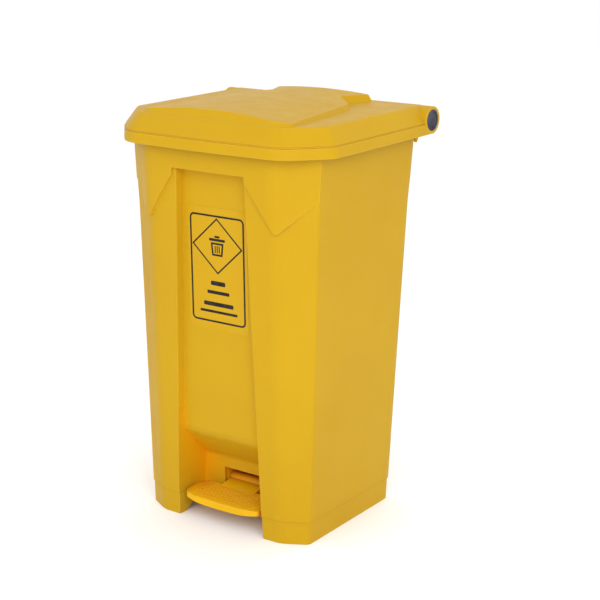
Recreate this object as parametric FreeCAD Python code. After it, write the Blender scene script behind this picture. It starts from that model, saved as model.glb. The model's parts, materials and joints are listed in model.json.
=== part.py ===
import FreeCAD, Part
import math
import os

from FreeCAD import Vector as V

# Step-on pedal bin, all sizes in millimetres.
# Origin: centre of the overall footprint, on the ground.  +Z up, the foot pedal faces -Y.

# ---------------------------------------------------------------- driving dimensions
WIDTH = 490.0  # across the lid skirt
DEPTH = 441.0  # front of the lid to the back of the hinge barrel
SKIRT_Z = 747.0  # lower edge of the lid skirt
DECK_Z = 801.0  # flat top of the lid
CROWN_Z = 818.5  # highest point of the raised panel on the lid
RIM_Z = 756.0  # top of the body
WALL = 3.5  # wall of the body
LID_WALL = 3.0  # wall of the lid
RUN = 0.08  # radial clearance of a shaft that turns in its hole
GAP = 0.3  # clearance between pieces that move past each other

# lid outline
LID_FRONT = -DEPTH / 2
LID_HALF = WIDTH / 2
LID_CORNER_X = 66.2  # corner facet, across
LID_CORNER_Y = 74.6  # corner facet, front to back
LID_BOW = 5.3  # the front edge stands this far forward at its middle
BOW_R = 1500.0  # the bow is one long arc
BOW_RISE = 0.9  # the arc passes this far behind its corner point

# lid hinge
BARREL_R = 26.5
HINGE_Y = DEPTH / 2 - BARREL_R
HINGE_Z = SKIRT_Z + BARREL_R
HINGE_ROD_R = 6.0
LUG_X = (188.0, 212.0)  # hinge lugs of the body, each side
KNUCKLE_OUTER_X = 216.0  # the lid's end knuckles start here
KNUCKLE_INNER_X = (16.0, 184.0)  # the lid's inner knuckles, each side
LUG_R = 22.0
PLUG_R = 21.0
PLUG_LENGTH = 9.0

# under the lid
PANEL_ARCH_R = 1150.0
BUFFER_HEIGHT = 5.0
REST_POINTS = ((110.0, -191.0, True), (221.0, 40.0, False))  # x, y, longer along X

# body outline: height, half width, front, rear
BODY_SECTIONS = (
    (0.0, 193.5, -173.5, 154.5),
    (618.0, 211.0, -187.6, 185.9),
    (665.0, 214.3, -188.7, 188.3),
    (RIM_Z, 219.0, -190.8, 193.0),
)
FACET_X = 144.0  # the front meets the corner facet here
FACET_Y = -143.0  # the corner facet meets the side here
BODY_BOW = 3.0
FRONT_R = 50.0  # soft edge between front and facet
SIDE_R = 12.0  # crisp edge between facet and side
REAR_R = 30.0
BAND_Z = 45.0  # top of the base band
BAND_INSET = 2.0
FLOOR_Z = 108.0  # inside bottom of the bin
FLOOR_THICK = 4.0
RIM_FLANGE = 8.0

# raised shoulders above the front channel
SHOULDER_OUT = 7.0
SHOULDER_TIP = (146.0, 602.0)
SHOULDER_SIDE = (211.0, 664.0)
SHOULDER_BEVEL = 7.5

# front channel and foot recess
CHANNEL_TOP = 706.0
CHANNEL_HALF_TOP = 78.5
CHANNEL_HALF_LOW = 103.0
CHANNEL_DRAFT = 3.0
CHANNEL_EDGE_R = 5.0
CHANNEL_FLOOR_TOP = -169.5
CHANNEL_FLOOR_LOW = -157.4
RECESS_TOP = 181.0
RECESS_KNEE = 113.0
RECESS_BACK = -94.5
ARM_HALF = 47.0  # opening for the pedal arm
ARM_LOW = 30.0
ARM_TOP = 89.0
APRON_Z = 20.0  # lower edge of the wall behind the pedal

# rear channel for the push rod
GROOVE_DEPTH = 55.0
GROOVE_HALF = 24.0

# pedal and its lever
PIVOT_Y = -70.5
PIVOT_Z = 62.0
AXLE_R = 5.0
HUB_R = 13.0
LEVER_ARM = 184.0
LEVER_REST_DEG = 8.5  # the rear arm hangs this far below level at rest
PEDAL_HALF = 93.0
PEDAL_FRONT = -175.0
PEDAL_REAR = -108.0
PEDAL_TOP_FRONT = 49.5
PEDAL_TOP_REAR = 58.0
PEDAL_LIP = 14.0
PEDAL_ARC_R = 620.0  # the lip's lower edge rises towards both ends
LEVER_SCREWS = (30.0, 52.0)  # along the lever, from the axle
BRACKET_X = (46.0, 56.0)  # cheek of the axle bracket, right side
BRACKET_REACH = (-18.0, 32.0)  # flange, ahead of and behind the axle
AXLE_SCREW_Y = (-10.0, 24.0)  # ahead of and behind the axle
AXLE_SCREW_X = 68.0

# push rod and lid crank
ROD_R = 4.0
PIN_R = 3.0
STROKE = 54.4  # vertical travel of the rod
CRANK_DEG = 40.0  # the crank sweeps from this far below level to as far above it
CRANK_R = STROKE / (2 * math.sin(math.radians(CRANK_DEG)))
BRACKET_TOP = DECK_Z - LID_WALL
BRACKET_HOLES = ((-12.3, 150.0), (12.3, 150.0), (-12.3, 128.0), (12.3, 128.0))
GUIDE_HEIGHTS = (250.0, 600.0)  # middle of each rod guide
GUIDE_HALF_Z = 9.0
GUIDE_SCREW_X = 13.6
GUIDE_HALF_X = 17.8

# label
LABEL_HALF = 70.0
LABEL_Z = (398.0, 635.0)
LABEL_THICK = 0.4


# ---------------------------------------------------------------- derived places
def mix(a, b, t):
    return a + (b - a) * t


def section_at(z):
    """Half width, front and rear of the body at one height."""
    pairs = list(zip(BODY_SECTIONS, BODY_SECTIONS[1:]))
    for low, high in pairs:
        if z <= high[0]:
            break
    t = (z - low[0]) / (high[0] - low[0])
    return tuple(mix(low[i], high[i], t) for i in (1, 2, 3))


REST = math.radians(LEVER_REST_DEG)
LINK_Y = PIVOT_Y + LEVER_ARM * math.cos(REST) - 1.3  # pin at the foot of the rod, at rest
LINK_Z = PIVOT_Z - LEVER_ARM * math.sin(REST)
CRANK = math.radians(CRANK_DEG)
CRANK_PIN_Y = HINGE_Y - CRANK_R * math.cos(CRANK)
CRANK_PIN_Z = HINGE_Z - CRANK_R * math.sin(CRANK)
HEAD_Y = CRANK_PIN_Y - 5.2  # centre of the slotted head, at rest
HEAD_Z = CRANK_PIN_Z
ROD_TILT = math.atan2(HEAD_Y - LINK_Y, HEAD_Z - LINK_Z)
REAR_RUN = BODY_SECTIONS[1][3] - BODY_SECTIONS[0][3]  # how far the back leans over its lower part
REAR_LEAN = math.degrees(math.atan2(REAR_RUN, BODY_SECTIONS[1][0]))


def rod_y(z):
    return LINK_Y + (z - LINK_Z) * math.tan(ROD_TILT)


def groove_y(z):
    """Surface of the rear channel's floor."""
    return section_at(z)[2] - GROOVE_DEPTH


def channel_half(z):
    return mix(CHANNEL_HALF_LOW, CHANNEL_HALF_TOP, z / CHANNEL_TOP)


def channel_floor(z):
    return mix(CHANNEL_FLOOR_LOW, CHANNEL_FLOOR_TOP, z / CHANNEL_TOP)


# ---------------------------------------------------------------- shape helpers
def rounded(points, plane):
    """Closed wire through (u, v, radius) corners, mapped into space by plane(u, v)."""
    n = len(points)
    starts = []
    arcs = []
    for i, (u, v, r) in enumerate(points):
        a = points[i - 1]
        b = points[(i + 1) % n]
        into = V(u - a[0], v - a[1], 0).normalize()
        out = V(b[0] - u, b[1] - v, 0).normalize()
        turn = into.getAngle(out)
        if r <= 0 or turn < 1e-6:
            starts.append((V(u, v, 0), V(u, v, 0)))
            arcs.append(None)
            continue
        reach = r * math.tan(turn / 2)
        first = V(u, v, 0) - into * reach
        last = V(u, v, 0) + out * reach
        inward = (out - into).normalize()
        middle = V(u, v, 0) + inward * (r / math.cos(turn / 2) - r)
        starts.append((first, last))
        arcs.append(middle)
    edges = []
    for i in range(n):
        first, last = starts[i]
        if arcs[i] is not None:
            ends = [plane(p.x, p.y) for p in (first, arcs[i], last)]
            edges.append(Part.Arc(*ends).toShape())
        following = starts[(i + 1) % n][0]
        if last.distanceToPoint(following) > 1e-6:
            edges.append(Part.makeLine(plane(last.x, last.y), plane(following.x, following.y)))
    return Part.Wire(edges)


def in_xy(z):
    return lambda u, v: V(u, v, z)


def in_yz(x):
    return lambda u, v: V(x, u, v)


def in_xz(y):
    return lambda u, v: V(u, y, v)


def loft(wires):
    return Part.makeLoft(wires, True, True)


def prism(points, plane, direction):
    """Straight extrusion of a rounded polygon."""
    return Part.Face(rounded(points, plane)).extrude(direction)


def across(points, x0, x1):
    """Extrusion along X of a polygon given as (y, z, radius)."""
    return prism(points, in_yz(x0), V(x1 - x0, 0, 0))


def box(x0, x1, y0, y1, z0, z1):
    return Part.makeBox(x1 - x0, y1 - y0, z1 - z0, V(x0, y0, z0))


def rod_x(x0, x1, y, z, r):
    return Part.makeCylinder(r, x1 - x0, V(x0, y, z), V(1, 0, 0))


def rod_z(x, y, z0, z1, r):
    return Part.makeCylinder(r, z1 - z0, V(x, y, z0))


def mirrored(shape):
    return shape.mirror(V(0, 0, 0), V(1, 0, 0))


def both(shape):
    """The shape and its mirror image on the other side of the bin."""
    return [shape, mirrored(shape)]


def fuse(shapes):
    shapes = list(shapes)
    return shapes[0].multiFuse(shapes[1:]).removeSplitter()


def along_rod(shape):
    """Leans a piece drawn about an upright rod at the link pin over to the rod's tilt."""
    turned = shape.copy()
    turned.rotate(V(0, LINK_Y, LINK_Z), V(1, 0, 0), -math.degrees(ROD_TILT))
    return turned


def along_lever(shape):
    """Leans a piece drawn about a level lever down to its rest angle."""
    turned = shape.copy()
    turned.rotate(V(0, PIVOT_Y, PIVOT_Z), V(1, 0, 0), -LEVER_REST_DEG)
    return turned


# ---------------------------------------------------------------- body
def body_wire(z, inset=0.0):
    half, front, rear = section_at(z)
    half -= inset
    front += inset
    rear -= inset
    corner_x = FACET_X - 0.32 * inset
    side_y = FACET_Y + 0.51 * inset
    right = [
        (corner_x, front + BODY_BOW, FRONT_R - inset),
        (half, side_y, SIDE_R - inset),
        (half, rear, REAR_R - inset),
    ]
    left = [(-x, y, r) for x, y, r in reversed(right)]
    return rounded([(0, front, BOW_R)] + right + left, in_xy(z))


def body_loft(heights, inset):
    return loft([body_wire(z, inset) for z in heights])


def shoulder_wire(z):
    half, front, rear = section_at(z)
    right = [
        (FACET_X + 2.0, front + BODY_BOW - SHOULDER_OUT, FRONT_R),
        (half - 0.6, FACET_Y - 0.6, 0),
        (half - 0.6, FACET_Y + 20, 0),
    ]
    left = [(-x, y, r) for x, y, r in reversed(right)]
    return rounded([(0, front - SHOULDER_OUT, BOW_R)] + right + left, in_xy(z))


def shoulder_mask(y, bevel):
    """Front view of the shoulder area, with its zigzag lower edge raised by bevel."""
    tip_x, tip_z = SHOULDER_TIP
    side_x, side_z = SHOULDER_SIDE
    mouth_x = CHANNEL_HALF_TOP + CHANNEL_EDGE_R
    right = [
        (mouth_x - 3, CHANNEL_TOP - 12 + bevel, 6),
        (tip_x + 0.3 * bevel, tip_z + 1.4 * bevel, 6),
        (side_x, side_z + bevel, 0),
        (side_x + 20, side_z + bevel, 0),
        (side_x + 20, RIM_Z + 20, 0),
    ]
    left = [(-x, z, r) for x, z, r in reversed(right)]
    return rounded(right + left, in_xz(y))


def shoulders():
    """Raised upper part of the front, ending in a bevelled zigzag each side of the channel."""
    low_z = BODY_SECTIONS[1][0] - 40
    heights = [low_z, BODY_SECTIONS[1][0], BODY_SECTIONS[2][0], RIM_Z]
    raised = loft([shoulder_wire(z) for z in heights])
    mid_front = section_at(SHOULDER_TIP[1])[1]
    bevelled = loft([
        shoulder_mask(mid_front - SHOULDER_OUT - 4, SHOULDER_BEVEL),
        shoulder_mask(mid_front + 2, 0),
    ])
    straight = loft([shoulder_mask(mid_front + 2, 0), shoulder_mask(FACET_Y + 30, 0)])
    return raised.common(bevelled.fuse(straight))


def channel_wire(z, grow=0.0):
    """Plan of the front channel: mouth edges rounded, walls drafted towards its floor."""
    half = channel_half(z) + grow
    front = section_at(max(z, 0))[1]
    r = CHANNEL_EDGE_R
    ahead = front - 40
    if grow > 0:
        mouth = [(half, front + r, 0), (half, ahead, 0)]
    else:
        mouth = [(half, front, r), (half + r, front, 0), (half + r, ahead, 0)]
    right = [(half - CHANNEL_DRAFT, channel_floor(z) + grow, 0)] + mouth
    left = [(-x, y, r) for x, y, r in reversed(right)]
    return rounded(right + left, in_xy(z))


def channel(grow=0.0):
    return loft([channel_wire(-5, grow), channel_wire(CHANNEL_TOP + grow, grow)])


def recess(grow=0.0):
    """Deep foot recess: its back slopes in below the channel and then drops straight down."""
    def plan(z):
        half = channel_half(z) + grow
        front = section_at(max(z, 0))[1] + CHANNEL_EDGE_R
        back = RECESS_BACK + grow
        draft = CHANNEL_DRAFT + 2
        corners = [(half, front - 20), (half, front), (half - draft, back)]
        right = [(x, y, 0) for x, y in corners]
        left = [(-x, y, r) for x, y, r in reversed(right)]
        return rounded(right + left, in_xy(z))

    hollow = loft([plan(-5), plan(RECESS_TOP + 60)])
    top_y = channel_floor(RECESS_TOP) + grow
    side = [
        (-260, -5, 0),
        (RECESS_BACK + grow, -5, 0),
        (RECESS_BACK + grow, RECESS_KNEE, 18),
        (top_y, RECESS_TOP, 30),
        (channel_floor(RECESS_TOP + 50) + grow, RECESS_TOP + 50, 0),
        (-260, RECESS_TOP + 50, 0),
    ]
    return hollow.common(across(side, -150, 150))


def groove(grow=0.0):
    """Upright channel down the middle of the back, for the push rod."""
    def plan(z):
        rear = section_at(min(max(z, 0), RIM_Z))[2]
        half = GROOVE_HALF + grow
        floor_y = rear - GROOVE_DEPTH - grow
        corners = [(half + 2, rear + 20, 0), (-half - 2, rear + 20, 0)]
        corners += [(-half, floor_y, 6), (half, floor_y, 6)]
        return rounded(corners, in_xy(z))

    return loft([plan(z) for z in (-5, 0, BODY_SECTIONS[1][0], BODY_SECTIONS[2][0], RIM_Z, RIM_Z + 10)])


def rim_flange():
    outer = body_loft((RIM_Z - 3, RIM_Z), -RIM_FLANGE)
    inner = body_loft((RIM_Z - 3, RIM_Z), WALL / 2)
    return outer.cut(inner).cut(box(-300, 300, 150, 260, 700, 800))


def hinge_lug():
    """One lug on the right: a boss about the hinge rod on two gusset plates."""
    x0, x1 = LUG_X
    boss = rod_x(x0, x1, HINGE_Y, HINGE_Z, LUG_R)
    wall_y = section_at(RIM_Z)[2]
    gusset = [
        (wall_y - 3, 728, 0),
        (wall_y, 728, 0),
        (HINGE_Y + 15, HINGE_Z - 16, 0),
        (HINGE_Y, HINGE_Z, 0),
        (HINGE_Y - 15, HINGE_Z - 16, 0),
        (wall_y - 12, RIM_Z - 6, 0),
    ]
    plates = [across(gusset, x, x + 5) for x in (x0, x1 - 5)]
    inside = body_loft((690, RIM_Z), WALL)
    return boss.multiFuse(plates).cut(inside)


def outer_body():
    heights = [BAND_Z] + [s[0] for s in BODY_SECTIONS[1:]]
    skin = fuse([
        body_loft(heights, 0),
        body_loft((0, BAND_Z), BAND_INSET),
        shoulders(),
    ])
    upper = body_loft([FLOOR_Z] + heights[1:-1] + [RIM_Z + 10], WALL)
    lower = body_loft((-5, FLOOR_Z - FLOOR_THICK), WALL + BAND_INSET)
    kept = fuse([channel(WALL), recess(WALL), groove(WALL)])
    shell = skin.cut(upper.fuse(lower).cut(kept))
    shell = shell.cut(fuse([channel(), recess()])).cut(groove())
    shell = shell.fuse(rim_flange().cut(groove()))
    shell = shell.cut(rod_x(-LID_HALF, LID_HALF, HINGE_Y, HINGE_Z, BARREL_R + 1.5))
    shell = shell.fuse(hinge_lug()).fuse(mirrored(hinge_lug()))
    arm_hole = box(-ARM_HALF, ARM_HALF, RECESS_BACK - 5, RECESS_BACK + WALL + 5, ARM_LOW, ARM_TOP)
    apron = across([(-166, -6, 0), (-122, 18, 0), (-85, APRON_Z, 0), (-85, -6, 0)], -107, 107)
    low_rear = groove_y(FLOOR_Z)
    lever_gate = box(-19, 19, low_rear - 20, low_rear + 8, -6, FLOOR_Z - FLOOR_THICK)
    shell = shell.cut(arm_hole).cut(apron).cut(lever_gate)
    shell = shell.cut(rod_x(-WIDTH, WIDTH, HINGE_Y, HINGE_Z, HINGE_ROD_R + RUN / 2))
    for hole in screw_pilots():
        shell = shell.cut(hole)
    return shell.removeSplitter()


# ---------------------------------------------------------------- lid
def lid_wire(z, d, rear=HINGE_Y):
    """Outline of the lid, d inside the skirt's lower edge."""
    corner_x = LID_HALF - LID_CORNER_X - 0.5 * d
    side_y = LID_FRONT + LID_BOW + LID_CORNER_Y + 0.5 * d
    right = [
        (corner_x, LID_FRONT + LID_BOW + d, 68.6 - 0.6 * d),
        (LID_HALF - d, side_y, 38.2 - 0.6 * d),
        (LID_HALF - d, rear, 0),
    ]
    left = [(-x, y, r) for x, y, r in reversed(right)]
    return rounded([(0, LID_FRONT - BOW_RISE + d, BOW_R)] + right + left, in_xy(z))


# height above the skirt's lower edge, distance inside it
LID_PROFILE = (
    (0.0, 0.6),
    (2.0, 0.0),
    (19.5, 0.8),
    (20.5, 4.2),
    (22.3, 4.4),
    (23.3, 3.2),
    (27.0, 5.8),
    (52.0, 23.4),
    (54.0, 26.4),
)
LID_INNER = (
    (-5.0, 3.0),
    (18.0, 3.8),
    (24.0, 8.6),
    (51.0, 27.6),
)


def panel_wire(z, inset=0.0):
    """Raised panel on the lid: full width in front, waisted behind, flared at the hinge."""
    rise = z - DECK_Z
    front = LID_FRONT + 26.4 + 0.75 * rise + inset
    side = 0.7 * rise + inset
    right = [
        (146 - 0.3 * side, front + 4.2, 30),
        (173 - side, front + 24, 20),
        (142 - side, 66, 6),
        (91 - side, 119.5, 8),
        (116 - side, HINGE_Y - 14 - inset, 0),
    ]
    left = [(-x, y, r) for x, y, r in reversed(right)]
    return rounded([(0, front, BOW_R)] + right + left, in_xy(z))


def raised_panel(inset=0.0):
    """Panel solid with a gently arched top; inset gives the hollow beneath its skin."""
    block = loft([panel_wire(DECK_Z - 5, inset), panel_wire(CROWN_Z + 4, inset)])
    axis_z = CROWN_Z - inset - PANEL_ARCH_R
    arch = Part.makeCylinder(PANEL_ARCH_R, DEPTH, V(0, LID_FRONT, axis_z), V(0, 1, 0))
    return block.common(arch)


def knuckle(x0, x1):
    """Length of hinge barrel: a tube with a web at each end that the rod runs through."""
    tube = rod_x(x0, x1, HINGE_Y, HINGE_Z, BARREL_R)
    hollow = rod_x(x0 + 6, x1 - 6, HINGE_Y, HINGE_Z, BARREL_R - 4)
    return tube.cut(hollow)


def over_rim(half_x, half_y, z0, z1):
    """Four blocks above the body's rim: two near the front corners, two at the sides."""
    blocks = []
    for x, y, along_x in REST_POINTS:
        dx, dy = (half_x, half_y) if along_x else (half_y, half_x)
        blocks += both(box(x - dx, x + dx, y - dy, y + dy, z0, z1))
    return blocks


def lid_supports(outer):
    """Four posts that stand the lid on the body's rim, kept inside its skin."""
    posts = over_rim(9, 4, RIM_Z + BUFFER_HEIGHT, DECK_Z - 2.4)
    return [post.common(outer) for post in posts]


def lid_ribs(outer):
    """Stiffening ribs from under the deck up to the skin above."""
    low = DECK_Z - LID_WALL - 11
    ribs = []
    for y in (-60, 60):
        ribs.append(box(-205, 205, y - 1.5, y + 1.5, low, CROWN_Z))
    for x in (70, 150):
        ribs += both(box(x - 1.5, x + 1.5, -180, 140, low + 2, CROWN_Z))
    return [rib.common(outer) for rib in ribs]


def bracket_seat(outer):
    """Flat seat for the lift bracket, held by two webs under the raised panel."""
    plate = box(-18, 18, 118, 174, BRACKET_TOP, BRACKET_TOP + 3.5)
    webs = both(box(16, 18, 118, 174, BRACKET_TOP, CROWN_Z))
    return [plate] + [web.common(outer) for web in webs]


def lid():
    outer = loft([lid_wire(SKIRT_Z + h, d) for h, d in LID_PROFILE])
    outer = outer.fuse(raised_panel())
    inner = loft([lid_wire(SKIRT_Z + h, d, HINGE_Y + 40) for h, d in LID_INNER])
    shell = outer.cut(inner).cut(raised_panel(LID_WALL))
    shell = shell.cut(box(-300, 300, HINGE_Y - 8, 300, 700, HINGE_Z + 8))
    sweep = rod_x(-LID_HALF - 5, LID_HALF + 5, HINGE_Y, HINGE_Z, LUG_R + 1.5)
    shell = shell.cut(sweep)
    knuckles = both(knuckle(*KNUCKLE_INNER_X))
    ends = both(rod_x(KNUCKLE_OUTER_X, LID_HALF, HINGE_Y, HINGE_Z, BARREL_R))
    under = lid_supports(outer) + lid_ribs(outer) + bracket_seat(outer)
    shell = shell.multiFuse(knuckles + ends + under)
    shell = shell.cut(rod_x(-LID_HALF + PLUG_LENGTH, LID_HALF - PLUG_LENGTH,
                            HINGE_Y, HINGE_Z, HINGE_ROD_R + RUN))
    for seat in both(rod_x(LID_HALF - PLUG_LENGTH, LID_HALF + 1, HINGE_Y, HINGE_Z, PLUG_R)):
        shell = shell.cut(seat)
    for hole in lid_pilots():
        shell = shell.cut(hole)
    return shell


def hinge_plug():
    """Dark end cap in the right end of the barrel, with a shallow dished face."""
    cap = rod_x(LID_HALF - PLUG_LENGTH + 1, LID_HALF, HINGE_Y, HINGE_Z, PLUG_R)
    dish = rod_x(LID_HALF - 1.5, LID_HALF + 1, HINGE_Y, HINGE_Z, PLUG_R - 4)
    return cap.cut(dish)


def hinge_rod():
    end = LID_HALF - PLUG_LENGTH
    rod = rod_x(-end, end, HINGE_Y, HINGE_Z, HINGE_ROD_R)
    return rod.cut(rod_x(-end - 1, end + 1, HINGE_Y, HINGE_Z, HINGE_ROD_R - 1.5))


def lid_buffers():
    """Soft pads on the ends of the lid's posts."""
    return Part.makeCompound(over_rim(8, 3.5, RIM_Z + 0.2, RIM_Z + BUFFER_HEIGHT))


# ---------------------------------------------------------------- lid crank
def lift_bracket():
    """Steel saddle under the lid with two cheeks that hold the crank pin."""
    base = box(-16, 16, 120, 172, BRACKET_TOP - 2.5, BRACKET_TOP)
    side = [
        (143, BRACKET_TOP - 2, 0),
        (174, BRACKET_TOP - 2, 0),
        (CRANK_PIN_Y + 8, CRANK_PIN_Z, 0),
        (CRANK_PIN_Y + 4, CRANK_PIN_Z - 7, 3),
        (CRANK_PIN_Y - 4, CRANK_PIN_Z - 7, 3),
        (CRANK_PIN_Y - 8, CRANK_PIN_Z, 0),
    ]
    cheeks = both(across(side, 6.2, 8.7))
    bracket = base.multiFuse(cheeks)
    bracket = bracket.cut(rod_x(-20, 20, CRANK_PIN_Y, CRANK_PIN_Z, PIN_R))
    for x, y in BRACKET_HOLES:
        bracket = bracket.cut(rod_z(x, y, BRACKET_TOP - 5, BRACKET_TOP + 1, 2.2))
    return bracket.removeSplitter()


def lift_bracket_screws():
    screws = []
    for x, y in BRACKET_HOLES:
        head = rod_z(x, y, BRACKET_TOP - 5, BRACKET_TOP - 2.5, 3.6)
        screws.append(head.fuse(rod_z(x, y, BRACKET_TOP - 3, BRACKET_TOP + 2, 2.0)))
    return Part.makeCompound(screws)


def lid_pilots():
    return [rod_z(x, y, BRACKET_TOP - 1, BRACKET_TOP + 2.1, 2.05) for x, y in BRACKET_HOLES]


def crank_pin():
    return rod_x(-12, 12, CRANK_PIN_Y, CRANK_PIN_Z, PIN_R)


def clip_ring(x, y, z, r):
    """Retaining ring 1.2 thick on a pin of radius r."""
    ring = rod_x(x, x + 1.2, y, z, r + 3)
    return ring.cut(rod_x(x - 1, x + 3, y, z, r))


def crank_pin_clips():
    return Part.makeCompound([clip_ring(8.9, CRANK_PIN_Y, CRANK_PIN_Z, PIN_R),
                              clip_ring(-10.1, CRANK_PIN_Y, CRANK_PIN_Z, PIN_R)])


# ---------------------------------------------------------------- push rod
def rod_head():
    """Plastic end piece with a level slot for the crank pin."""
    plate = [
        (HEAD_Y - 15.5, HEAD_Z - 9, 4),
        (HEAD_Y + 14.5, HEAD_Z - 9, 4),
        (HEAD_Y + 14.5, HEAD_Z + 9, 4),
        (HEAD_Y - 15.5, HEAD_Z + 9, 4),
    ]
    slot_r = PIN_R + 1.6
    slot = [
        (HEAD_Y - 12, HEAD_Z - slot_r, slot_r - 0.1),
        (HEAD_Y + 10, HEAD_Z - slot_r, slot_r - 0.1),
        (HEAD_Y + 10, HEAD_Z + slot_r, slot_r - 0.1),
        (HEAD_Y - 12, HEAD_Z + slot_r, slot_r - 0.1),
    ]
    reach = (HEAD_Z - LINK_Z) / math.cos(ROD_TILT)
    socket = along_rod(rod_z(0, LINK_Y, LINK_Z + reach - 34, LINK_Z + reach - 8, 5.8))
    bore = along_rod(rod_z(0, LINK_Y, LINK_Z + reach - 40, LINK_Z + reach - 12, ROD_R))
    head = across(plate, -5, 5).cut(across(slot, -6, 6))
    return head.fuse(socket).cut(bore).removeSplitter()


def push_rod():
    reach = (HEAD_Z - LINK_Z) / math.cos(ROD_TILT)
    return along_rod(rod_z(0, LINK_Y, LINK_Z + 22, LINK_Z + reach - 12, ROD_R))


def rod_fork():
    """Clevis at the foot of the rod, astride the lever's end."""
    cheek = [
        (LINK_Y - 7.5, LINK_Z - 9, 6),
        (LINK_Y + 7.5, LINK_Z - 9, 6),
        (LINK_Y + 7.5, LINK_Z + 22, 0),
        (LINK_Y - 7.5, LINK_Z + 22, 0),
    ]
    cheeks = both(across(cheek, 8.5, 11.5))
    bridge = box(-11.5, 11.5, LINK_Y - 7.5, LINK_Y + 7.5, LINK_Z + 17, LINK_Z + 22)
    socket = rod_z(0, LINK_Y, LINK_Z + 20, LINK_Z + 46, 7.5)
    fork = fuse(cheeks + [bridge, socket]).cut(rod_z(0, LINK_Y, LINK_Z + 22, LINK_Z + 60, ROD_R))
    fork = fork.cut(rod_x(-20, 20, LINK_Y, LINK_Z, PIN_R))
    return along_rod(fork)


def link_pin():
    return rod_x(-14.5, 14.5, LINK_Y, LINK_Z, PIN_R)


def link_pin_clips():
    return Part.makeCompound([clip_ring(11.7, LINK_Y, LINK_Z, PIN_R),
                              clip_ring(-12.9, LINK_Y, LINK_Z, PIN_R)])


# ---------------------------------------------------------------- rod guides


def on_groove(shape, z):
    """Lays a piece drawn on an upright groove floor at height z onto the leaning floor."""
    turned = shape.copy()
    turned.rotate(V(0, groove_y(z), z), V(1, 0, 0), -REAR_LEAN)
    return turned


def rod_guide(z):
    """Saddle screwed to the floor of the rear channel; the rod slides in its bore."""
    y = groove_y(z)
    top = rod_y(z) + 8
    flange = box(-GUIDE_HALF_X, GUIDE_HALF_X, y, y + 4, z - GUIDE_HALF_Z, z + GUIDE_HALF_Z)
    block = [(-9, y, 0), (9, y, 0), (9, top, 5), (-9, top, 5)]
    saddle = prism(block, in_xy(z - GUIDE_HALF_Z), V(0, 0, 2 * GUIDE_HALF_Z))
    guide = on_groove(flange.fuse(saddle), z)
    guide = guide.cut(along_rod(rod_z(0, LINK_Y, z - LINK_Z, z + 60, ROD_R + GAP)))
    for x in (-GUIDE_SCREW_X, GUIDE_SCREW_X):
        guide = guide.cut(on_groove(screw_along_y(x, y - 5, y + 10, z, 2.2), z))
    return guide.removeSplitter()


def screw_along_y(x, y0, y1, z, r):
    return Part.makeCylinder(r, y1 - y0, V(x, y0, z), V(0, 1, 0))


def guide_screws():
    screws = []
    for z in GUIDE_HEIGHTS:
        y = groove_y(z)
        for x in (-GUIDE_SCREW_X, GUIDE_SCREW_X):
            shank = screw_along_y(x, y - 2.5, y + 5, z, 2.0)
            head = screw_along_y(x, y + 4, y + 6.5, z, 3.8)
            screws.append(on_groove(shank.fuse(head), z))
    return Part.makeCompound(screws)


# ---------------------------------------------------------------- pedal
def pedal_half_plan():
    """Right half of the treadle's outline, front to back, as (x, y, radius)."""
    return [
        (62, PEDAL_FRONT + 1.5, 50),
        (PEDAL_HALF, PEDAL_FRONT + 9, 14),
        (PEDAL_HALF, PEDAL_REAR - 24, 10),
        (PEDAL_HALF - 16, PEDAL_REAR, 10),
    ]


def pedal_plan(z, inset=0.0):
    shrink = 1 - inset / PEDAL_HALF
    mid_y = (PEDAL_FRONT + PEDAL_REAR) / 2
    deep = 1 - 2 * inset / (PEDAL_REAR - PEDAL_FRONT)
    right = [(x * shrink, mid_y + (y - mid_y) * deep, max(r - inset, 1)) for x, y, r in pedal_half_plan()]
    left = [(-x, y, r) for x, y, r in reversed(right)]
    middle = (0, mid_y + (PEDAL_FRONT - mid_y) * deep, 600)
    return rounded([middle] + right + left, in_xy(z))


def pedal_top_z(y):
    return mix(PEDAL_TOP_FRONT, PEDAL_TOP_REAR, (y - PEDAL_FRONT) / (PEDAL_REAR - PEDAL_FRONT))


def pedal_slab(top_drop, bottom_drop):
    """Wedge between the sloped top and a lower face, long enough to cover the pedal."""
    y0, y1 = PEDAL_FRONT - 20, PEDAL_REAR + 20
    side = [
        (y0, pedal_top_z(y0) - top_drop, 0),
        (y1, pedal_top_z(y1) - top_drop, 0),
        (y1, pedal_top_z(y1) - bottom_drop, 0),
        (y0, pedal_top_z(y0) - bottom_drop, 0),
    ]
    return across(side, -200, 200)


def pedal_tread():
    """Low ribs across the treadle that keep a shoe from slipping."""
    slab = pedal_slab(-1.0, 2.0)
    ribs = []
    for i in range(7):
        y = PEDAL_FRONT + 11 + 7.5 * i
        half = min(60 + 5 * i, 76)
        ribs.append(box(-half, half, y - 1.2, y + 1.2, 30, 80).common(slab))
    return ribs


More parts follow.
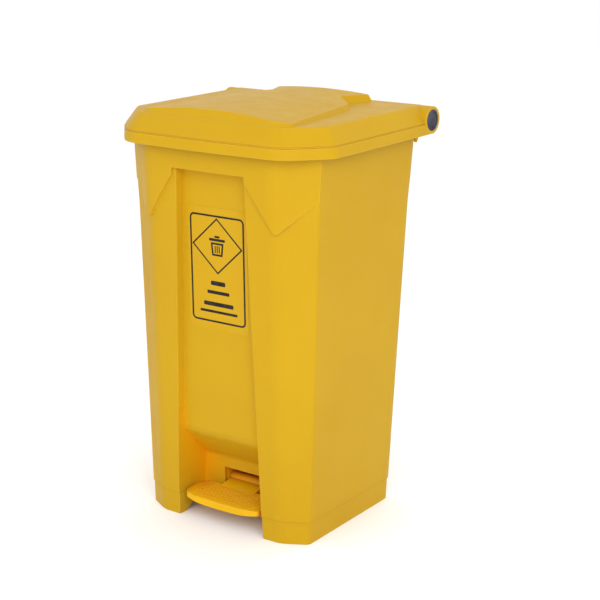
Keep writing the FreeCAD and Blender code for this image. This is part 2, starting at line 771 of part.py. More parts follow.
def pedal():
    """Moulded treadle, its arm, the hub about the axle and the socket for the lever."""
    block = loft([pedal_plan(30), pedal_plan(70, 1.5)])
    plate = block.common(pedal_slab(0, PEDAL_LIP))
    hollow = loft([pedal_plan(20, 4), pedal_plan(70, 5)]).common(pedal_slab(4, 60))
    low_z = PEDAL_TOP_FRONT - PEDAL_LIP - 1
    arc = Part.makeCylinder(PEDAL_ARC_R, 200, V(0, PEDAL_FRONT - 30, low_z + PEDAL_ARC_R), V(0, 1, 0))
    plate = plate.cut(hollow).common(arc)
    trim = box(-200, 200, PEDAL_REAR - 26, PEDAL_REAR + 10, 20, PEDAL_TOP_REAR - 10)
    plate = plate.cut(trim)
    arm = [
        (PEDAL_FRONT + 20, 45, 0),
        (PEDAL_REAR, 47, 0),
        (PIVOT_Y, PIVOT_Z - 8, 0),
        (PIVOT_Y, PIVOT_Z + 4, 0),
        (PEDAL_REAR, PEDAL_TOP_REAR, 0),
        (PEDAL_FRONT + 20, 49, 0),
    ]
    webs = both(across(arm, 36, 41)) + both(across(arm, 10, 14))
    roof = [
        (PEDAL_REAR - 12, PEDAL_TOP_REAR - 5, 0),
        (PIVOT_Y, PIVOT_Z, 0),
        (PIVOT_Y, PIVOT_Z + 5, 0),
        (PEDAL_REAR - 12, PEDAL_TOP_REAR - 1.5, 0),
    ]
    tail = along_lever(box(-14, 14, PIVOT_Y, PIVOT_Y + 66, PIVOT_Z - 12, PIVOT_Z + 12))
    hub = rod_x(-41, 41, PIVOT_Y, PIVOT_Z, HUB_R)
    body = fuse([plate, across(roof, -41, 41), hub, tail] + webs + pedal_tread())
    pocket = box(-8.1, 8.1, PIVOT_Y + 16, PIVOT_Y + 70, PIVOT_Z - 8.1, PIVOT_Z + 8.1)
    body = body.cut(along_lever(pocket))
    body = body.cut(rod_x(-50, 50, PIVOT_Y, PIVOT_Z, AXLE_R + 0.6))
    for bush in both(rod_x(26, 42, PIVOT_Y, PIVOT_Z, AXLE_R + 2.5)):
        body = body.cut(bush)
    for dy in LEVER_SCREWS:
        body = body.cut(along_lever(rod_x(-20, 20, PIVOT_Y + dy, PIVOT_Z, 2.6)))
    return body.removeSplitter()


def pedal_bush():
    """Flanged bearing sleeve in the right end of the hub."""
    sleeve = rod_x(26, 41, PIVOT_Y, PIVOT_Z, AXLE_R + 2.5)
    collar = rod_x(41, 43, PIVOT_Y, PIVOT_Z, AXLE_R + 5)
    return sleeve.fuse(collar).cut(rod_x(20, 50, PIVOT_Y, PIVOT_Z, AXLE_R + RUN)).removeSplitter()


def lever_bar():
    """Square steel tube from the pedal's socket to the foot of the push rod."""
    end = LEVER_ARM
    tube = box(-8, 8, PIVOT_Y + 17, PIVOT_Y + end - 14, PIVOT_Z - 8, PIVOT_Z + 8)
    tube = tube.cut(box(-6, 6, PIVOT_Y, PIVOT_Y + end - 30, PIVOT_Z - 6, PIVOT_Z + 6))
    tip = [
        (PIVOT_Y + end - 20, PIVOT_Z - 8, 0),
        (PIVOT_Y + end + 9, PIVOT_Z - 8, 6),
        (PIVOT_Y + end + 9, PIVOT_Z + 8, 6),
        (PIVOT_Y + end - 20, PIVOT_Z + 8, 0),
    ]
    bar = tube.fuse(across(tip, -7, 7))
    slot_r = PIN_R + 0.5
    slot = fuse([
        rod_x(-20, 20, PIVOT_Y + end - 3, PIVOT_Z, slot_r),
        rod_x(-20, 20, PIVOT_Y + end + 3, PIVOT_Z, slot_r),
        box(-20, 20, PIVOT_Y + end - 3, PIVOT_Y + end + 3, PIVOT_Z - slot_r, PIVOT_Z + slot_r),
    ])
    bar = bar.cut(slot)
    for dy in LEVER_SCREWS:
        bar = bar.cut(rod_x(-20, 20, PIVOT_Y + dy, PIVOT_Z, 2.6))
    return along_lever(bar.removeSplitter())


def lever_screws():
    screws = []
    for dy in LEVER_SCREWS:
        y = PIVOT_Y + dy
        shank = rod_x(-17, 14.5, y, PIVOT_Z, 2.5)
        screws.append(along_lever(fuse([shank, rod_x(14, 17, y, PIVOT_Z, 4.5),
                                        rod_x(-17.5, -14, y, PIVOT_Z, 4.2)])))
    return Part.makeCompound(screws)


def pedal_axle():
    return rod_x(-66, 66, PIVOT_Y, PIVOT_Z, AXLE_R)


def axle_bracket():
    """Right-hand bracket that hangs the pedal axle from the underside of the bin floor."""
    top = FLOOR_Z - FLOOR_THICK
    x0, x1 = BRACKET_X
    ear = [
        (PIVOT_Y + BRACKET_REACH[0], top, 0),
        (PIVOT_Y - 11, PIVOT_Z - 11, 9),
        (PIVOT_Y + 11, PIVOT_Z - 11, 9),
        (PIVOT_Y + 22, top, 0),
    ]
    ahead, behind = (PIVOT_Y + reach for reach in BRACKET_REACH)
    flange = box(x0, AXLE_SCREW_X + 9, ahead, behind, top - 4, top)
    bracket = flange.fuse(across(ear, x0, x1))
    bracket = bracket.cut(rod_x(x0 - 5, x1 + 5, PIVOT_Y, PIVOT_Z, AXLE_R + 0.02))
    for dy in AXLE_SCREW_Y:
        bracket = bracket.cut(rod_z(AXLE_SCREW_X, PIVOT_Y + dy, top - 8, top + 1, 2.2))
    return bracket.removeSplitter()


def axle_clips():
    return Part.makeCompound([clip_ring(56.4, PIVOT_Y, PIVOT_Z, AXLE_R),
                              clip_ring(-57.6, PIVOT_Y, PIVOT_Z, AXLE_R)])


def bracket_screws():
    top = FLOOR_Z - FLOOR_THICK
    screws = []
    for dy in AXLE_SCREW_Y:
        head = rod_z(AXLE_SCREW_X, PIVOT_Y + dy, top - 6.5, top - 4, 3.8)
        screws += both(head.fuse(rod_z(AXLE_SCREW_X, PIVOT_Y + dy, top - 5, top + 3, 2.0)))
    return Part.makeCompound(screws)


def screw_pilots():
    """Blind holes in the body that its screws bite into."""
    top = FLOOR_Z - FLOOR_THICK
    holes = []
    for dy in AXLE_SCREW_Y:
        holes += both(rod_z(AXLE_SCREW_X, PIVOT_Y + dy, top - 1, top + 3.1, 2.05))
    for z in GUIDE_HEIGHTS:
        y = groove_y(z)
        for x in (-GUIDE_SCREW_X, GUIDE_SCREW_X):
            holes.append(on_groove(screw_along_y(x, y - 2.6, y + 2, z, 2.05), z))
    return holes


# ---------------------------------------------------------------- label
def label_sticker():
    """Thin vinyl label on the floor of the front channel."""
    z0, z1 = LABEL_Z
    corners = [(-LABEL_HALF, z0), (LABEL_HALF, z0), (LABEL_HALF, z1), (-LABEL_HALF, z1)]
    points = [(x, z, 7) for x, z in corners]
    middle = (z0 + z1) / 2
    sheet = prism(points, in_xz(channel_floor(middle)), V(0, -LABEL_THICK, 0))
    lean = math.degrees(math.atan2(CHANNEL_FLOOR_LOW - CHANNEL_FLOOR_TOP, CHANNEL_TOP))
    sheet.rotate(V(0, channel_floor(middle), middle), V(1, 0, 0), lean)
    return sheet


# ---------------------------------------------------------------- output
def pieces():
    plug = hinge_plug()
    bush = pedal_bush()
    bracket = axle_bracket()
    return {
        "outer_body": outer_body(),
        "label_sticker": label_sticker(),
        "hinge_rod": hinge_rod(),
        "pedal_axle": pedal_axle(),
        "axle_bracket_right": bracket,
        "axle_bracket_left": mirrored(bracket),
        "axle_clips": axle_clips(),
        "bracket_screws": bracket_screws(),
        "rod_guide_lower": rod_guide(GUIDE_HEIGHTS[0]),
        "rod_guide_upper": rod_guide(GUIDE_HEIGHTS[1]),
        "guide_screws": guide_screws(),
        "lid": lid(),
        "hinge_plug_right": plug,
        "hinge_plug_left": mirrored(plug),
        "lid_buffers": lid_buffers(),
        "lift_bracket": lift_bracket(),
        "lift_bracket_screws": lift_bracket_screws(),
        "crank_pin": crank_pin(),
        "crank_pin_clips": crank_pin_clips(),
        "push_rod": push_rod(),
        "rod_head": rod_head(),
        "rod_fork": rod_fork(),
        "link_pin": link_pin(),
        "link_pin_clips": link_pin_clips(),
        "pedal": pedal(),
        "pedal_bush_right": bush,
        "pedal_bush_left": mirrored(bush),
        "lever_bar": lever_bar(),
        "lever_screws": lever_screws(),
    }


def main():
    os.makedirs("parts", exist_ok=True)
    for name, shape in pieces().items():
        shape.exportStep(f"parts/{name}.step")
        b = shape.optimalBoundingBox(False, False)
        print(f"{name:22s} solids {len(shape.Solids)} valid {shape.isValid()} volume {shape.Volume:12.1f}"
              f"  x {b.XMin:.1f}..{b.XMax:.1f}  y {b.YMin:.1f}..{b.YMax:.1f}  z {b.ZMin:.1f}..{b.ZMax:.1f}")


main()
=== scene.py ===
import json
import math

import bmesh
import bpy
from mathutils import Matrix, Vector


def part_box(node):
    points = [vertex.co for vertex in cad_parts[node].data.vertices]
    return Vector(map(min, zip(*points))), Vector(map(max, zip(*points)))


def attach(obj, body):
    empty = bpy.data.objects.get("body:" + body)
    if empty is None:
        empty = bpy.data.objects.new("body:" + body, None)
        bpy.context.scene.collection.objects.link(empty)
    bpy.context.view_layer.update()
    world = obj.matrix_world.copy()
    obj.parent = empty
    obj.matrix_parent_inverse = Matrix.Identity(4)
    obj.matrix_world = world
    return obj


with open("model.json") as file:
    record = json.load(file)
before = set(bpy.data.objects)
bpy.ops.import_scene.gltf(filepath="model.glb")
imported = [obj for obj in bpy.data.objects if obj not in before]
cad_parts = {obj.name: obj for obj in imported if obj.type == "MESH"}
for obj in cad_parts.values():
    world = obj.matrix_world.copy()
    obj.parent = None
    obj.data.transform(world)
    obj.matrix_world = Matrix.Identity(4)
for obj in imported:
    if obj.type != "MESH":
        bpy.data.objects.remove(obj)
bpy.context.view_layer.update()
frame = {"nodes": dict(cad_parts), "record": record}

NODES = frame["nodes"]
SUBPARTS = frame["record"]["subparts"]

# ------------------------------------------------------------------ settings
# Lengths are in metres and colours are linear.
YELLOW = (0.500, 0.298, 0.008)
YELLOW_DEEP = (0.472, 0.272, 0.007)
HOLLOW_SHADE_ORANGE = (0.84, 0.350, 0.000)  # painted shade: the orange that the hollows of the moulding take in shade
# paler yellow for scuffs and rubbed edges, and a painted highlight on sharp edges
YELLOW_SCUFF_AND_HIGHLIGHT = (0.61, 0.41, 0.065)
PEDAL_YELLOW = (0.72, 0.395, 0.002)
LABEL_YELLOW = (0.515, 0.290, 0.003)
SLATE = (0.012, 0.012, 0.017)
GAP_SHADE_ORANGE = (0.50, 0.100, 0.000)  # painted shade between the pedal and the shell
SEAM_SHADE = (0.30, 0.14, 0.004)  # painted shade: a dark line along the step above the base band
BLACK = (0.018, 0.018, 0.020)
INK = (0.012, 0.011, 0.010)
INK_WORN = (0.03, 0.027, 0.022)
STEEL_DULL = (0.30, 0.29, 0.27)

CAMERA_AT = Vector((1.67814, -2.28639, 1.21330))
CAMERA_AIM = Vector((0.0586, 0.0167, 0.4258))
LENS = 89.65

FLOOR_REACH = 40.0
FLOOR_DROP = 0.0003
SKY_STRENGTH = 1.04
LIGHTS = (  # name, place, point that it faces, side of its square, watts
    ("key", (2.05, -2.25, 1.9), (0, 0, 0.4), 2.2, 54),
    ("fill_front", (-0.3, -3.6, 1.6), (0, 0, 0.4), 2.2, 9),
    ("top", (0.2, 1.4, 3.2), (0, 0, 0.7), 2.0, 8),
)

BAND_TOP = 0.0455  # parting line above the base band
BAND_LINE_HALF = 0.0011
MOULD_WEAR_AND_HIGHLIGHT_RADIUS = 0.0018  # edges no rounder than this are painted pale: partly rubbed wear, partly painted highlight
PEDAL_WEAR_AND_HIGHLIGHT_RADIUS = 0.0015
SMALL_WEAR_AND_HIGHLIGHT_RADIUS = 0.0008
HOLLOW_SHADE_REACH = 0.14  # how far apart the walls of a hollow may stand for the painted shade
PEDAL_GAP_SHADE_REACH = 0.05
HOLLOW_SHADE_FULL_Z, HOLLOW_SHADE_FADED_Z = 0.17, 0.32  # the painted hollow shade fades between these heights
HOLLOW_SHADE_FADED = 0.15
TREAD_Z = (0.040, 0.056)  # the pedal is rubbed from the first height up to the second

PLASTIC_IOR = 1.5
VINYL_IOR = 1.48

LABEL_FILM = 0.0004  # thickness of the label's vinyl
PRINT_GAP = 0.00006  # ink above the vinyl
PRINT_THICK = 0.00012
FRAME_HALF = (0.0634, 0.1040)  # half width and half height
FRAME_RADIUS = 0.010
FRAME_LINE = 0.0036
DIAMOND_Z = 0.0450  # its middle above the label's middle
DIAMOND_HALF = (0.0590, 0.0540)
DIAMOND_LINE = 0.0029
PICTOGRAM_SIZE = 0.030
BARS = (  # height above the label's middle, width, thickness
    (-0.027, 0.034, 0.0085),
    (-0.045, 0.052, 0.0065),
    (-0.068, 0.070, 0.0080),
    (-0.083, 0.088, 0.0050),
)


# ------------------------------------------------------------------ shader helpers
class Paint:
    """A material under construction: a Principled shader and short ways to add nodes."""

    def __init__(self, name):
        self.mat = bpy.data.materials.new(name)
        self.mat.use_nodes = True
        self.tree = self.mat.node_tree
        self.bsdf = next(n for n in self.tree.nodes if n.type == "BSDF_PRINCIPLED")
        self.coords = self.add("ShaderNodeTexCoord").outputs["Object"]
        self.bump = None

    def add(self, kind, **props):
        node = self.tree.nodes.new(kind)
        for key, value in props.items():
            setattr(node, key, value)
        return node

    def link(self, a, b):
        self.tree.links.new(a, b)

    def constant(self, **values):
        for key, value in values.items():
            self.bsdf.inputs[key.replace("_", " ")].default_value = value

    def stretched(self, scale):
        node = self.add("ShaderNodeMapping")
        node.inputs["Scale"].default_value = scale
        self.link(self.coords, node.inputs["Vector"])
        return node.outputs["Vector"]

    def noise(self, scale, detail=2.0, rough=0.5, stretch=None):
        node = self.add("ShaderNodeTexNoise")
        node.inputs["Scale"].default_value = scale
        node.inputs["Detail"].default_value = detail
        node.inputs["Roughness"].default_value = rough
        self.link(self.stretched(stretch) if stretch else self.coords, node.inputs["Vector"])
        return node.outputs["Fac"]

    def drift(self, scale, detail=2.0, rough=0.5, stretch=None, to_low=0.0, to_high=1.0):
        """Noise whose usual middle range is widened to run from to_low to to_high."""
        return self.spread(self.noise(scale, detail, rough, stretch), 0.3, 0.7, to_low, to_high)

    def spread(self, value, low, high, to_low=0.0, to_high=1.0):
        node = self.add("ShaderNodeMapRange")
        sockets = ("From Min", "From Max", "To Min", "To Max")
        for key, number in zip(sockets, (low, high, to_low, to_high)):
            node.inputs[key].default_value = number
        self.link(value, node.inputs["Value"])
        return node.outputs["Result"]

    def maths(self, operation, a, b):
        node = self.add("ShaderNodeMath", operation=operation)
        for socket, value in zip(node.inputs, (a, b)):
            if isinstance(value, (int, float)):
                socket.default_value = value
            else:
                self.link(value, socket)
        return node.outputs["Value"]

    def blend(self, factor, a, b):
        node = self.add("ShaderNodeMix", data_type="RGBA")
        self.link(factor, node.inputs["Factor"])
        colours = [s for s in node.inputs if s.type == "RGBA"]
        for socket, value in zip(colours, (a, b)):
            if isinstance(value, tuple):
                socket.default_value = (*value, 1.0)
            else:
                self.link(value, socket)
        return next(s for s in node.outputs if s.type == "RGBA")

    def relief(self, height, distance, strength=1.0):
        node = self.add("ShaderNodeBump")
        node.inputs["Distance"].default_value = distance
        node.inputs["Strength"].default_value = strength
        self.link(height, node.inputs["Height"])
        if self.bump is not None:
            self.link(self.bump, node.inputs["Normal"])
        self.bump = node.outputs["Normal"]

    def height(self):
        node = self.add("ShaderNodeSeparateXYZ")
        self.link(self.coords, node.inputs["Vector"])
        return node.outputs["Z"]

    def edges(self, radius):
        """1 on sharp edges and 0 on flats, from how far a rounded normal leaves the true one."""
        rounded = self.add("ShaderNodeBevel", samples=4)
        rounded.inputs["Radius"].default_value = radius
        true = self.add("ShaderNodeNewGeometry").outputs["Normal"]
        dot = self.add("ShaderNodeVectorMath", operation="DOT_PRODUCT")
        self.link(rounded.outputs["Normal"], dot.inputs[0])
        self.link(true, dot.inputs[1])
        return self.spread(dot.outputs["Value"], 0.998, 0.93)

    def hollow_shade_mask(self, reach, alone):
        """1 deep in a hollow and 0 in the open, the mask for painted shade; alone counts only the piece's
        own faces.
        """
        node = self.add("ShaderNodeAmbientOcclusion", samples=8, only_local=alone)
        node.inputs["Distance"].default_value = reach
        return self.spread(node.outputs["AO"], 0.86, 0.30)

    def line_at(self, z, half):
        """1 on a thin level line at height z, 0 elsewhere."""
        away = self.maths("ABSOLUTE", self.maths("SUBTRACT", self.height(), z), 0)
        return self.spread(away, half, 0.4 * half)

    def finish(self, colour, roughness):
        self.link(colour, self.bsdf.inputs["Base Color"])
        self.link(roughness, self.bsdf.inputs["Roughness"])
        if self.bump is not None:
            self.link(self.bump, self.bsdf.inputs["Normal"])
        return self.mat


# ------------------------------------------------------------------ materials
def moulded_yellow(name, rough, scuff_top, scuff_amount, grain, glare, wave, alone=True):
    """Satin polyethylene: faint colour drift, mould grain, orange peel and scuffs low down, with painted
    orange shade in hollows, a painted shade line at the base band and pale edges that are partly wear,
    partly painted highlight.
    """
    p = Paint(name)
    colour = p.blend(p.drift(4.0, 3.0), YELLOW, YELLOW_DEEP)
    low = p.spread(p.height(), scuff_top, 0.0, 0.12, 1.0)
    marks = p.spread(p.noise(1.0, 4.0, 0.6, (170, 170, 28)), 0.64, 0.78)
    scuffs = p.maths("MULTIPLY", p.maths("MULTIPLY", marks, low), scuff_amount)
    # Pale sharp edges: partly rubbed wear, partly a painted highlight.
    edge_wear_and_highlight = p.maths("MULTIPLY", p.edges(MOULD_WEAR_AND_HIGHLIGHT_RADIUS), 0.45)
    worn_and_highlit = p.maths("MAXIMUM", scuffs, edge_wear_and_highlight)
    colour = p.blend(worn_and_highlit, colour, YELLOW_SCUFF_AND_HIGHLIGHT)
    # Painted shade: hollows of the moulding turn orange, more so low down.
    hollow_shade_fade = p.spread(p.height(), HOLLOW_SHADE_FADED_Z, HOLLOW_SHADE_FULL_Z, HOLLOW_SHADE_FADED, 1.0)
    colour = p.blend(p.maths("MULTIPLY", p.hollow_shade_mask(HOLLOW_SHADE_REACH, alone), hollow_shade_fade), colour, HOLLOW_SHADE_ORANGE)
    # Painted shade: a dark line at the step above the base band.
    seam_shade = p.maths("MULTIPLY", p.line_at(BAND_TOP, BAND_LINE_HALF), 0.45)
    colour = p.blend(seam_shade, colour, SEAM_SHADE)
    cloudy = p.drift(22.0, 4.0, 0.6, to_low=rough - 0.05, to_high=rough + 0.06)
    drawn = p.drift(1.0, 2.0, 0.5, (90, 90, 4), -0.02, 0.02)
    roughness = p.maths("ADD", p.maths("ADD", cloudy, drawn), p.maths("MULTIPLY", scuffs, 0.2))
    p.relief(p.noise(26.0, 2.0), 0.0008, wave)
    p.relief(p.noise(grain, 3.0, 0.6), 0.00016, 0.30)
    p.relief(marks, 0.00010, 0.25)
    p.constant(IOR=PLASTIC_IOR, Specular_IOR_Level=glare)
    p.constant(Subsurface_Weight=0.04, Subsurface_Scale=0.004)
    return p.finish(colour, roughness)


def worn_tread(name):
    """The pedal: the same plastic, rubbed by shoes on its top, with painted shade where it sits close to
    the shell and pale edges that are partly wear, partly painted highlight.
    """
    p = Paint(name)
    colour = p.blend(p.maths("MULTIPLY", p.drift(9.0, 3.0), 0.35), PEDAL_YELLOW, YELLOW)
    streaks = p.spread(p.noise(1.0, 4.0, 0.65, (60, 240, 60)), 0.52, 0.75)
    top = p.spread(p.height(), *TREAD_Z)
    rubbed = p.maths("MULTIPLY", p.maths("MULTIPLY", streaks, top), 0.6)
    # Pale sharp edges: partly rubbed wear, partly a painted highlight.
    worn_and_highlit = p.maths("MAXIMUM", rubbed, p.maths("MULTIPLY", p.edges(PEDAL_WEAR_AND_HIGHLIGHT_RADIUS), 0.5))
    colour = p.blend(worn_and_highlit, colour, YELLOW_SCUFF_AND_HIGHLIGHT)
    # Painted shade: deep orange where the pedal sits close to the shell.
    colour = p.blend(p.hollow_shade_mask(PEDAL_GAP_SHADE_REACH, False), colour, GAP_SHADE_ORANGE)
    satin = p.drift(40.0, 4.0, to_low=0.36, to_high=0.50)
    roughness = p.maths("ADD", satin, p.maths("MULTIPLY", rubbed, 0.2))
    p.relief(p.noise(1100.0, 3.0, 0.6), 0.00018, 0.35)
    p.relief(streaks, 0.00012, 0.3)
    p.constant(IOR=PLASTIC_IOR, Specular_IOR_Level=0.14)
    return p.finish(colour, roughness)


def soft_plastic(name, colour, lighter, rough, grain):
    """Small dull mouldings and rubber, with edges painted paler: partly rubbed wear, partly painted
    highlight.
    """
    p = Paint(name)
    shade = p.blend(p.drift(30.0, 3.0), colour, lighter)
    # Pale sharp edges: partly rubbed wear, partly a painted highlight.
    pale_edge_and_highlight = tuple(min(1, c * 2 + 0.03) for c in lighter)
    shade = p.blend(p.maths("MULTIPLY", p.edges(SMALL_WEAR_AND_HIGHLIGHT_RADIUS), 0.35), shade, pale_edge_and_highlight)
    roughness = p.drift(70.0, 4.0, 0.6, to_low=rough - 0.06, to_high=rough + 0.08)
    p.relief(p.noise(grain, 3.0, 0.6), 0.00014, 0.35)
    p.constant(IOR=PLASTIC_IOR, Specular_IOR_Level=0.12)
    return p.finish(shade, roughness)


def vinyl(name):
    """Label film: smoother than the moulding, with a faint ripple where it follows the wall."""
    p = Paint(name)
    colour = p.blend(p.drift(16.0, 3.0), LABEL_YELLOW, YELLOW)
    roughness = p.drift(55.0, 4.0, to_low=0.27, to_high=0.37)
    p.relief(p.noise(24.0, 2.0), 0.0006, 0.18)
    p.relief(p.noise(800.0, 2.0), 0.00006, 0.2)
    p.constant(IOR=VINYL_IOR, Specular_IOR_Level=0.14)
    return p.finish(colour, roughness)


def ink(name):
    """Printed black, thinner and rougher in patches."""
    p = Paint(name)
    colour = p.blend(p.spread(p.noise(90.0, 4.0), 0.35, 0.7), INK, INK_WORN)
    roughness = p.drift(300.0, 3.0, to_low=0.35, to_high=0.5)
    p.relief(p.noise(1500.0, 2.0), 0.00004, 0.3)
    p.constant(Specular_IOR_Level=0.10)
    return p.finish(colour, roughness)


def plated_steel(name, colour, darker, rough, spangle):
    """Zinc-plated or bare steel: crystalline patches, drawn lines and dulled spots."""
    p = Paint(name)
    cells = p.add("ShaderNodeTexVoronoi")
    cells.inputs["Scale"].default_value = spangle
    p.link(p.coords, cells.inputs["Vector"])
    tone = p.spread(cells.outputs["Distance"], 0.0, 0.7)
    colour = p.blend(tone, colour, darker)
    dull = p.spread(p.noise(60.0, 4.0, 0.65), 0.5, 0.75)
    colour = p.blend(p.maths("MULTIPLY", dull, 0.35), colour, STEEL_DULL)
    base = p.spread(tone, 0, 1, rough, rough + 0.10)
    roughness = p.maths("ADD", base, p.maths("MULTIPLY", dull, 0.15))
    p.relief(p.noise(1.0, 3.0, 0.6, (1600, 220, 1600)), 0.00005, 0.35)
    p.constant(Metallic=1.0)
    return p.finish(colour, roughness)


PAINTS = {
    "body_plastic": moulded_yellow(
        "moulded_body", rough=0.42, scuff_top=0.20, scuff_amount=0.55, grain=1000.0, glare=0.09, wave=0.16
    ),
    "lid_plastic": moulded_yellow(
        "moulded_lid", rough=0.42, scuff_top=0.10, scuff_amount=0.30, grain=1150.0, glare=0.09, wave=0.07
    ),
    "pedal_plastic": worn_tread("moulded_pedal"),
    "label_vinyl": vinyl("label_film"),
    "plug_plastic": soft_plastic("slate_plug", SLATE, (0.06, 0.06, 0.08), rough=0.42, grain=900.0),
    "dark_plastic": soft_plastic("black_nylon", BLACK, (0.03, 0.03, 0.032), rough=0.48, grain=900.0),
    "bush_nylon": soft_plastic(
        "white_nylon", (0.68, 0.66, 0.58), (0.74, 0.72, 0.64), rough=0.40, grain=800.0
    ),
    "buffer_rubber": soft_plastic(
        "black_rubber", (0.020, 0.020, 0.021), (0.034, 0.034, 0.034), rough=0.70, grain=600.0
    ),
    "zinc_steel": plated_steel(
        "zinc_plate", (0.66, 0.67, 0.69), (0.52, 0.53, 0.56), rough=0.30, spangle=420.0
    ),
    "spring_steel": plated_steel(
        "spring_steel", (0.34, 0.34, 0.35), (0.24, 0.24, 0.25), rough=0.36, spangle=900.0
    ),
    "screw_steel": plated_steel(
        "screw_zinc", (0.62, 0.61, 0.56), (0.50, 0.49, 0.45), rough=0.32, spangle=700.0
    ),
}
INK_PAINT = ink("label_ink")
# The axle brackets sit inside the shell, so their painted hollow shade counts its walls too.
HIDDEN_YELLOW = moulded_yellow(
    "moulded_bracket", rough=0.46, scuff_top=0.05, scuff_amount=0.30, grain=1000.0, glare=0.06, wave=0.16,
    alone=False,
)


def dress(obj, material):
    obj.data.materials.clear()
    obj.data.materials.append(material)


for part in SUBPARTS:
    dress(NODES[part["node"]], PAINTS[part["material_slot"]])
for side in ("left", "right"):
    dress(NODES["axle_bracket_" + side], HIDDEN_YELLOW)


# ------------------------------------------------------------------ label print
low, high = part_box("label_sticker")
LABEL_MID = (low.z + high.z) / 2
LABEL_TALL = high.z - low.z
LEAN = ((high.y - LABEL_FILM) - low.y) / LABEL_TALL


def on_label(x, z, off):
    """Point off ahead of the vinyl, x across and z up from the middle of the label."""
    return Vector((x, low.y + (LABEL_TALL / 2 - z) * LEAN - off, LABEL_MID + z))


def rounded_loop(half_x, half_z, r, steps=8):
    """Rectangle with round corners as a list of points about its middle."""
    points = []
    for cx, cz, start in ((1, 1, 0), (-1, 1, 90), (-1, -1, 180), (1, -1, 270)):
        for i in range(steps + 1):
            a = math.radians(start + 90 * i / steps)
            mid_x, mid_z = cx * (half_x - r), cz * (half_z - r)
            points.append((mid_x + r * math.cos(a), mid_z + r * math.sin(a)))
    return points


def moved(points, dx, dz):
    return [(x + dx, z + dz) for x, z in points]


def printed(name, outlines):
    """Raised ink: each outline is a loop, or a pair of loops for a ring."""
    bm = bmesh.new()
    for shape in outlines:
        outer, inner = shape if isinstance(shape, tuple) else (shape, None)
        front, back = PRINT_GAP + PRINT_THICK, PRINT_GAP
        rings = []
        for loop in (outer, inner) if inner else (outer,):
            rings.append([[bm.verts.new(on_label(x, z, d)) for x, z in loop] for d in (front, back)])
        n = len(outer)
        if inner:
            for layer in (0, 1):
                a, b = rings[0][layer], rings[1][layer]
                for i in range(n):
                    bm.faces.new((a[i], a[(i + 1) % n], b[(i + 1) % n], b[i]))
        else:
            for layer in (0, 1):
                bm.faces.new(rings[0][layer])
        for ring in rings:
            for i in range(n):
                a, b = ring[0], ring[1]
                bm.faces.new((a[i], b[i], b[(i + 1) % n], a[(i + 1) % n]))
    bmesh.ops.recalc_face_normals(bm, faces=bm.faces)
    mesh = bpy.data.meshes.new(name)
    bm.to_mesh(mesh)
    bm.free()
    obj = bpy.data.objects.new(name, mesh)
    bpy.context.scene.collection.objects.link(obj)
    dress(obj, INK_PAINT)
    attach(obj, "base")
    return obj


def frame_ring(half_x, half_z, r, line):
    inner = rounded_loop(half_x - line, half_z - line, r - line)
    return rounded_loop(half_x, half_z, r), inner


def diamond_ring(cx, cz, half_x, half_z, line):
    outer = [(half_x, 0), (0, half_z), (-half_x, 0), (0, -half_z)]
    k = 1 - line * math.hypot(half_x, half_z) / (half_x * half_z)
    inner = [(x * k, z * k) for x, z in outer]
    return moved(outer, cx, cz), moved(inner, cx, cz)


def bar(cx, cz, wide, tall):
    r = min(wide, tall) * 0.3
    return moved(rounded_loop(wide / 2, tall / 2, r, 3), cx, cz)


def bin_pictogram(cx, cz, s):
    """Plain picture of a litter bin: lid, knob, tapered tub and three slots."""
    tub = [(-0.50, 0.22), (-0.40, -0.62), (0.40, -0.62), (0.50, 0.22)]
    tub_in = [(-0.36, 0.10), (-0.29, -0.50), (0.29, -0.50), (0.36, 0.10)]
    shapes = [tuple([(cx + x * s, cz + z * s) for x, z in loop] for loop in (tub, tub_in))]
    shapes.append(bar(cx, cz + 0.40 * s, 1.24 * s, 0.17 * s))
    shapes.append(bar(cx, cz + 0.60 * s, 0.40 * s, 0.13 * s))
    for x in (-0.16, 0.0, 0.16):
        shapes.append(bar(cx + x * s, cz - 0.20 * s, 0.075 * s, 0.46 * s))
    return shapes


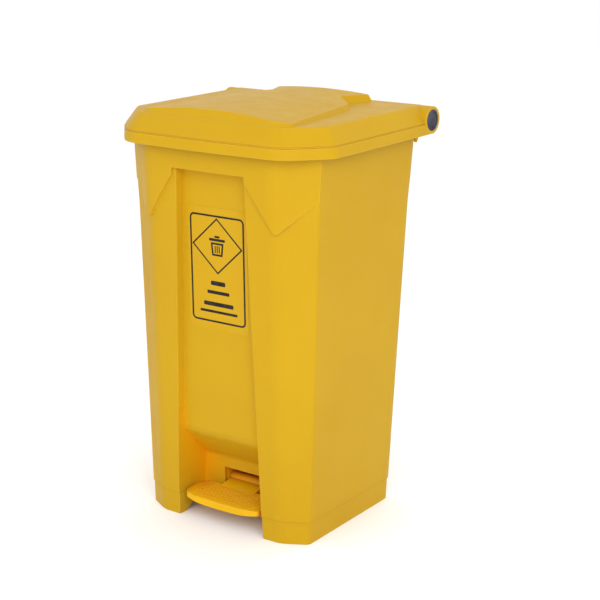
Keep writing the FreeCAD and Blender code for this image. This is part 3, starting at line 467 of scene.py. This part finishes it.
printed("label_frame", [frame_ring(*FRAME_HALF, FRAME_RADIUS, FRAME_LINE)])
printed("label_diamond", [diamond_ring(0, DIAMOND_Z, *DIAMOND_HALF, DIAMOND_LINE)])
printed("label_pictogram", bin_pictogram(0, DIAMOND_Z, PICTOGRAM_SIZE))
printed("label_bars", [bar(0, z, wide, tall) for z, wide, tall in BARS])


# ------------------------------------------------------------------ floor, light, camera
def floor_paint():
    p = Paint("pale_floor")
    colour = p.blend(p.drift(0.8, 3.0), (0.98, 0.98, 0.98), (0.96, 0.96, 0.96))
    p.relief(p.noise(260.0, 2.0), 0.0002, 0.1)
    return p.finish(colour, p.drift(6.0, 3.0, to_low=0.78, to_high=0.88))


def make_floor():
    mesh = bpy.data.meshes.new("floor")
    signs = ((-1, -1), (1, -1), (1, 1), (-1, 1))
    corners = [(x * FLOOR_REACH, y * FLOOR_REACH, -FLOOR_DROP) for x, y in signs]
    mesh.from_pydata(corners, [], [(0, 1, 2, 3)])
    obj = bpy.data.objects.new("floor", mesh)
    bpy.context.scene.collection.objects.link(obj)
    dress(obj, floor_paint())


def softbox(name, place, aim, side, power):
    """Square area light at place, turned to face aim."""
    light = bpy.data.lights.new(name, "AREA")
    light.shape = "RECTANGLE"
    light.size = light.size_y = side
    light.energy = power
    obj = bpy.data.objects.new(name, light)
    bpy.context.scene.collection.objects.link(obj)
    obj.location = place
    obj.rotation_euler = (Vector(aim) - Vector(place)).to_track_quat("-Z", "Y").to_euler()


make_floor()
for light in LIGHTS:
    softbox(*light)

world = bpy.data.worlds.new("studio")
bpy.context.scene.world = world
world.use_nodes = True
sky = world.node_tree.nodes["Background"]
sky.inputs["Color"].default_value = (1.0, 1.0, 1.0, 1.0)
sky.inputs["Strength"].default_value = SKY_STRENGTH
bpy.context.scene.view_settings.view_transform = "Standard"

camera = bpy.data.objects.new("camera", bpy.data.cameras.new("camera"))
bpy.context.scene.collection.objects.link(camera)
camera.data.lens = LENS
camera.location = CAMERA_AT
camera.rotation_euler = (CAMERA_AIM - CAMERA_AT).to_track_quat("-Z", "Y").to_euler()
bpy.context.scene.camera = camera
